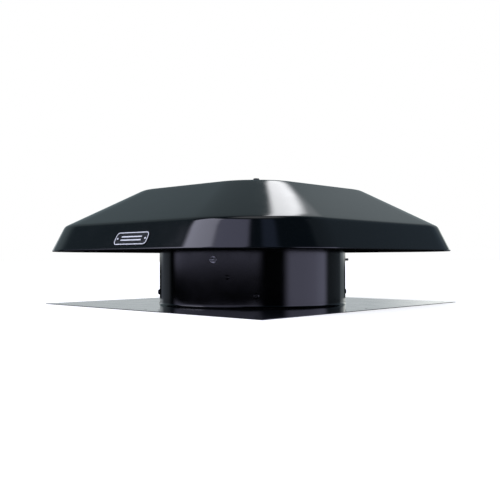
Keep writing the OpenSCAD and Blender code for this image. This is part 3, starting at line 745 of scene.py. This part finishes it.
def zinc(name, tone, scale):
    """Bright zinc plate with the faint patches of its passivation."""
    shader = Shader(name)
    patches = shader.ranged(shader.noise(scale, 5), 0, 1)
    cool = tuple(c * f for c, f in zip(tone, (0.94, 0.97, 1.03)))
    warm = tuple(c * f for c, f in zip(tone, (1.02, 1.0, 0.93)))
    plate = shader.mixed(patches, cool, warm)
    shader.colour(shader.mixed(shader.edges(), plate, (0.78, 0.78, 0.79)))
    shader.roughness(shader.ranged(shader.noise(scale * 5, 4), 0.22, 0.40))
    shader.set(Metallic=1.0)
    shader.bumps([(shader.noise(scale * 12, 3), 0.00003)])
    return shader.material


def stainless_steel():
    """Drawn stainless with fine lines."""
    shader = Shader("stainless_steel")
    lines = shader.noise(300, 3, (1, 1, 6))
    shader.colour(shader.mixed(shader.ranged(lines, 0, 1), (0.46, 0.47, 0.48), (0.62, 0.62, 0.63)))
    shader.roughness(shader.ranged(lines, 0.18, 0.34))
    shader.set(Metallic=1.0)
    shader.bumps([(lines, 0.00001)])
    return shader.material


def lamination_steel():
    """A stack of thin laminations, seen as level lines."""
    shader = Shader("lamination_steel")
    wave = shader.tree.nodes.new("ShaderNodeTexWave")
    wave.bands_direction = "Z"
    wave.inputs["Scale"].default_value = 320
    shader.link(shader.stretched((1, 1, 1)), wave.inputs["Vector"])
    shader.colour(shader.mixed(wave.outputs["Fac"], (0.14, 0.15, 0.16), (0.36, 0.37, 0.39)))
    shader.roughness(shader.ranged(shader.noise(200, 3), 0.35, 0.55))
    shader.set(Metallic=1.0)
    shader.bumps([(wave.outputs["Fac"], 0.0001)])
    return shader.material


def magnet():
    """Dull sintered magnet ring."""
    shader = Shader("magnet")
    grit = shader.ranged(shader.noise(700, 4), 0, 1)
    shader.colour(shader.mixed(grit, (0.05, 0.05, 0.055), (0.10, 0.10, 0.105)))
    shader.roughness(shader.ranged(shader.noise(250, 3), 0.55, 0.7))
    shader.set(Metallic=0.6)
    shader.bumps([(grit, 0.00004)])
    return shader.material


def copper_winding():
    """Turns of enamelled copper wire."""
    shader = Shader("copper_winding")
    wave = shader.tree.nodes.new("ShaderNodeTexWave")
    wave.wave_type = "RINGS"
    wave.rings_direction = "Z"
    wave.inputs["Scale"].default_value = 260
    wave.inputs["Distortion"].default_value = 1.5
    shader.link(shader.stretched((1, 1, 1)), wave.inputs["Vector"])
    shader.colour(shader.mixed(wave.outputs["Fac"], (0.22, 0.07, 0.025), (0.62, 0.27, 0.11)))
    shader.roughness(shader.ranged(shader.noise(300, 3), 0.25, 0.4))
    shader.set(Metallic=1.0)
    shader.bumps([(wave.outputs["Fac"], 0.0003)])
    return shader.material


def circuit_board():
    """Green solder mask with blurred copper tracks under it."""
    shader = Shader("circuit_board")
    cells = shader.tree.nodes.new("ShaderNodeTexVoronoi")
    cells.feature = "DISTANCE_TO_EDGE"
    cells.inputs["Scale"].default_value = 140
    shader.link(shader.stretched((1, 1, 1)), cells.inputs["Vector"])
    tracks = shader.ranged(cells.outputs["Distance"], 1, 0, (0.02, 0.08))
    shader.colour(shader.mixed(tracks, (0.01, 0.10, 0.04), (0.05, 0.24, 0.10)))
    shader.roughness(shader.ranged(shader.noise(150, 3), 0.2, 0.32))
    shader.bumps([(tracks, 0.00004)])
    return shader.material


def moulded(name, dark, light, roughness, grain, depth):
    """A moulded plastic or rubber with fine texture and scuffed edges."""
    shader = Shader(name)
    shader.colour(shader.mixed(shader.ranged(shader.noise(grain / 12, 5), 0, 1), dark, light))
    shader.roughness(shader.ranged(shader.noise(grain / 3, 4), roughness - 0.08, roughness + 0.08))
    shader.bumps([(shader.noise(grain, 3), depth)])
    return shader.material


def fan_aluminium():
    """Mill-finish sheet with rolling lines and light smudges."""
    shader = Shader("fan_aluminium")
    lines = shader.noise(45, 5, (1, 14, 14))
    smudge = shader.ranged(shader.noise(18, 5), 0, 1)
    sheet = shader.mixed(shader.ranged(lines, 0, 1), (0.56, 0.57, 0.59), (0.74, 0.75, 0.77))
    shader.colour(shader.mixed(shader.edges(), sheet, (0.85, 0.85, 0.86)))
    shader.roughness(shader.ranged(smudge, 0.24, 0.42, (0, 1)))
    shader.set(Metallic=1.0)
    shader.bumps([(lines, 0.00003)])
    return shader.material


def cast_aluminium():
    """Blasted casting with fine pits."""
    shader = Shader("cast_aluminium")
    pits = shader.noise(900, 4)
    shader.colour(shader.mixed(shader.ranged(pits, 0, 1), (0.40, 0.41, 0.42), (0.58, 0.59, 0.60)))
    shader.roughness(shader.ranged(shader.noise(120, 4), 0.42, 0.58))
    shader.set(Metallic=1.0)
    shader.bumps([(pits, 0.00008)])
    return shader.material


def make_materials():
    """One material for each slot of the record."""
    return {
        "black_powder_coat": black_powder_coat(),
        "black_fastener": black_fastener(),
        "blank_badge": blank_badge(),
        "zinc_plate": zinc("zinc_plate", (0.56, 0.57, 0.59), 25),
        "zinc_fastener": zinc("zinc_fastener", (0.60, 0.61, 0.62), 120),
        "stainless_steel": stainless_steel(),
        "lamination_steel": lamination_steel(),
        "magnet": magnet(),
        "copper_winding": copper_winding(),
        "circuit_board": circuit_board(),
        "rubber": moulded(
            "rubber", (0.016, 0.016, 0.018), (0.028, 0.028, 0.03), 0.62, 900, 0.00005),
        "lead_jacket": moulded(
            "lead_jacket", (0.02, 0.02, 0.022), (0.032, 0.032, 0.035), 0.42, 600, 0.00002),
        "box_plastic": moulded(
            "box_plastic", (0.028, 0.030, 0.034), (0.05, 0.052, 0.057), 0.46, 1500, 0.00005),
        "phenolic": moulded(
            "phenolic", (0.30, 0.20, 0.09), (0.42, 0.30, 0.15), 0.38, 700, 0.00003),
        "terminal_plastic": moulded(
            "terminal_plastic", (0.66, 0.64, 0.57), (0.78, 0.76, 0.70), 0.4, 500, 0.00002),
        "fan_aluminium": fan_aluminium(),
        "cast_aluminium": cast_aluminium(),
    }


def apply_materials(materials):
    """Gives every CAD node and every new piece its slot's material."""
    slots = {entry["node"]: entry["material_slot"] for entry in frame["record"]["subparts"]}
    for name, node in nodes.items():
        for slot in node.material_slots:
            slot.material = materials[slots[name]]
    for piece in bpy.context.scene.objects:
        if piece.type == "MESH" and "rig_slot" in piece:
            piece.data.materials.clear()
            piece.data.materials.append(materials[piece["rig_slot"]])


# ---------------------------------------------------------- floor and light

def add_floor():
    """A plain white floor that glows, which lifts its own shadows, and that gloss can't mirror."""
    half = 30
    mesh = bpy.data.meshes.new("floor")
    z = -0.3 * MM
    mesh.from_pydata([(-half, -half, z), (half, -half, z), (half, half, z), (-half, half, z)],
                     [], [(0, 1, 2, 3)])
    floor = bpy.data.objects.new("floor", mesh)
    bpy.context.scene.collection.objects.link(floor)
    material = bpy.data.materials.new("floor_white")
    material.use_nodes = True
    principled = material.node_tree.nodes["Principled BSDF"]
    principled.inputs["Base Color"].default_value = (0.9, 0.9, 0.9, 1)
    principled.inputs["Roughness"].default_value = 0.9
    principled.inputs["Emission Color"].default_value = (1, 1, 1, 1)
    principled.inputs["Emission Strength"].default_value = 0.8
    mesh.materials.append(material)
    floor.visible_glossy = False


# The studio's soft boxes, placed to give the photograph's reflections from the camera's view:
# name, middle azimuth and half width (degrees, anticlockwise from +X),
# lowest and highest elevation, softness of the sides and of the ends, and colour of the light
STUDIO = (
    ("back_wall", 142, 46, 5, 64, 22, 8, (0.17, 0.20, 0.20)),
    ("back_wall_right", 105, 14, 14, 34, 10, 8, (0.14, 0.14, 0.14)),
    ("key", 122.0, 4.8, 36, 62, 3, 6, (4.2, 4.2, 4.3)),
    ("key_halo", 116.5, 4, 33, 60, 5, 5, (0.45, 0.45, 0.47)),
    ("sweep", 130, 40, 0.5, 8, 12, 3, (0.60, 0.64, 0.66)),
    ("sweep_right", 111, 9, 0.5, 10, 8, 3, (0.7, 0.7, 0.65)),
    ("left_window", -130, 19, 18, 60, 7, 6, (3.1, 3.1, 3.85)),
    ("left_fill", -85, 25, 22, 62, 9, 6, (1.2, 1.2, 1.7)),
    ("blue_gap", -28, 11, 30, 64, 10, 6, (0.17, 0.21, 0.36)),
    ("right_wall", 64, 28, -20, 52, 8, 8, (0.09, 0.11, 0.13)),
    ("right_corner", 98, 9, -20, 2, 8, 4, (0.24, 0.28, 0.30)),
    ("left_wall", -166, 14, 14, 46, 8, 8, (0.05, 0.065, 0.07)),
    ("left_corner", 178, 16, -20, 8, 10, 6, (0.14, 0.16, 0.19)),
    ("right_panel", 23, 29, -16, 22, 12, 8, (1.25, 1.25, 1.75)),
    ("low_wall", -96, 58, -0.6, 14, 12, 1.2, (0.68, 0.68, 0.96)),
    ("ceiling", 0, 181, 74, 91, 1, 12, (0.9, 0.92, 0.95)),
)


def add_world():
    """White to the camera. To the object, a dark studio with soft boxes round it."""
    world = bpy.data.worlds.new("studio")
    bpy.context.scene.world = world
    world.use_nodes = True
    tree = world.node_tree
    tree.nodes.clear()

    def math_node(operation, *inputs):
        node = tree.nodes.new("ShaderNodeMath")
        node.operation = operation
        for i, value in enumerate(inputs):
            if isinstance(value, (int, float)):
                node.inputs[i].default_value = value
            else:
                tree.links.new(value, node.inputs[i])
        return node.outputs[0]

    def smooth(value, start, end):
        """0 at start and 1 at end, smoothly."""
        node = tree.nodes.new("ShaderNodeMapRange")
        node.interpolation_type = "SMOOTHSTEP"
        node.inputs["From Min"].default_value = start
        node.inputs["From Max"].default_value = end
        tree.links.new(value, node.inputs["Value"])
        return node.outputs["Result"]

    coordinates = tree.nodes.new("ShaderNodeTexCoord")
    split = tree.nodes.new("ShaderNodeSeparateXYZ")
    tree.links.new(coordinates.outputs["Generated"], split.inputs["Vector"])
    degrees = 180 / math.pi
    elevation = math_node("MULTIPLY", math_node("ARCSINE", split.outputs["Z"]), degrees)
    direction = math_node("ARCTAN2", split.outputs["Y"], split.outputs["X"])
    azimuth = math_node("MULTIPLY", direction, degrees)

    def softbox(middle, half_width, low, high, side_soft, end_soft):
        """A box of light round an azimuth, between two elevations, with soft edges."""
        turned = math_node("WRAP", math_node("SUBTRACT", azimuth, middle), 180, -180)
        away = math_node("ABSOLUTE", turned)
        across = smooth(away, half_width + side_soft / 2, half_width - side_soft / 2)
        above = smooth(elevation, low - end_soft / 2, low + end_soft / 2)
        below = smooth(elevation, high + end_soft / 2, high - end_soft / 2)
        return math_node("MULTIPLY", across, math_node("MULTIPLY", above, below))

    def colour_times(factor, colour):
        node = tree.nodes.new("ShaderNodeVectorMath")
        node.operation = "SCALE"
        node.inputs[0].default_value = colour
        tree.links.new(factor, node.inputs["Scale"])
        return node.outputs[0]

    def add(first, second):
        node = tree.nodes.new("ShaderNodeVectorMath")
        node.operation = "ADD"
        tree.links.new(first, node.inputs[0])
        tree.links.new(second, node.inputs[1])
        return node.outputs[0]

    light = colour_times(smooth(elevation, 2, 14), (0.03, 0.055, 0.08))
    for _, middle, half_width, low, high, side_soft, end_soft, colour in STUDIO:
        box = softbox(middle, half_width, low, high, side_soft, end_soft)
        light = add(light, colour_times(box, colour))
    path = tree.nodes.new("ShaderNodeLightPath")
    studio = tree.nodes.new("ShaderNodeBackground")
    tree.links.new(light, studio.inputs["Color"])
    white = tree.nodes.new("ShaderNodeBackground")
    white.inputs["Color"].default_value = (1, 1, 1, 1)
    choose = tree.nodes.new("ShaderNodeMixShader")
    tree.links.new(path.outputs["Is Camera Ray"], choose.inputs[0])
    tree.links.new(studio.outputs[0], choose.inputs[1])
    tree.links.new(white.outputs[0], choose.inputs[2])
    output = tree.nodes.new("ShaderNodeOutputWorld")
    tree.links.new(choose.outputs[0], output.inputs["Surface"])


add_camera()
hood_shell()
throat_shell()
strut_screws()
box_wall_screw()
hood_bolt_set()
hood_washer_set()
bracket_fasteners()
badge()
screen_mesh()
fan_blades()
apply_materials(make_materials())
add_floor()
add_world()
bpy.context.scene.view_settings.view_transform = "Standard"
